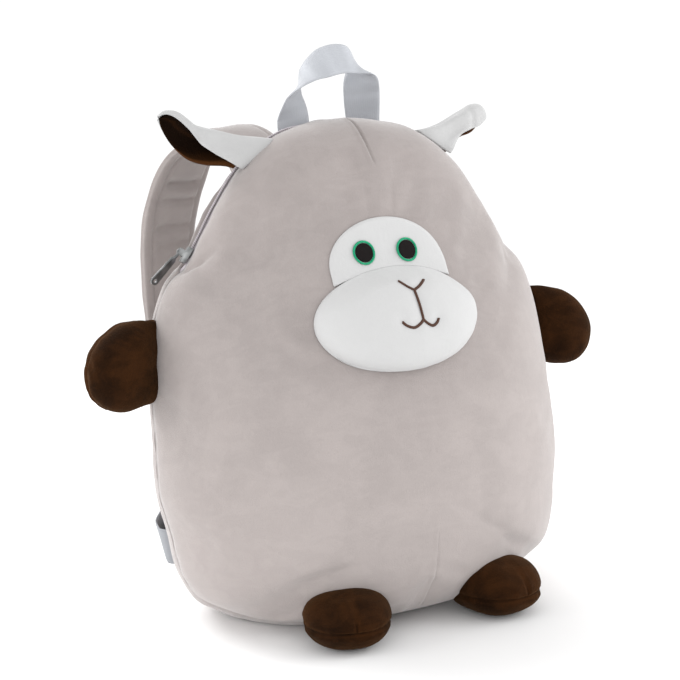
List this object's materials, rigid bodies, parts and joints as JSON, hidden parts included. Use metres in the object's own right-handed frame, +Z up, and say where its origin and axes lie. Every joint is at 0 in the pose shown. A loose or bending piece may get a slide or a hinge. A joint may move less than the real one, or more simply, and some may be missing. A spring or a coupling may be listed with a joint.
{
  "type": "kids animal backpack",
  "caption": "Plush child's backpack shaped as a standing animal, with a closed zip over its top, padded shoulder straps, a carry handle, and sewn-on face, ears, arms and feet.",
  "frame": {"origin": "on the floor, under the middle of the seam between the front panel and the side fabric", "axes": "+Z up, -Y the way the face looks, +Y towards the shoulder straps, +X to the bag's side that is on the right when it is seen from the front"},
  "size_m": [0.383, 0.2552, 0.3804],
  "materials": {
    "velour": "warm grey short-pile plush, matt",
    "white": "white short-pile fleece",
    "brown": "dark brown plush with a slight sheen",
    "green": "green satin embroidery",
    "black": "black satin embroidery",
    "webbing": "pale grey woven webbing",
    "tape": "grey zip tape and coil",
    "metal": "plain nickel-coloured metal",
    "plastic": "grey moulded plastic"
  },
  "bodies": {
    "bag": {"adjuster_left": "plastic", "adjuster_right": "plastic", "arm_left": "brown", "arm_right": "brown", "back_panel": "velour", "ear_left": "white", "ear_lining_left": "brown", "ear_lining_right": "brown", "ear_right": "white", "eye_ring_left": "green", "eye_ring_right": "green", "face_patch": "white", "foot_left": "brown", "foot_right": "brown", "front_panel": "velour", "handle": "webbing", "muzzle": "white", "nose_and_mouth": "brown", "pupil_left": "black", "pupil_right": "black", "side_gusset": "velour", "strap_left": "velour", "strap_right": "velour", "webbing_left": "webbing", "webbing_right": "webbing", "zip_chain": "tape", "zip_slider": "metal", "zip_tape": "tape"},
    "pull": {"zip_pull": "metal"}
  },
  "joints": [
    {"name": "zip_pull_turn", "type": "hinge", "parent": "bag", "child": "pull", "pos_m": [-0.119, 0.00861, 0.24893], "axis": [0.1694, 0.9843, -0.0496], "range_deg": [0, 150]}
  ]
}
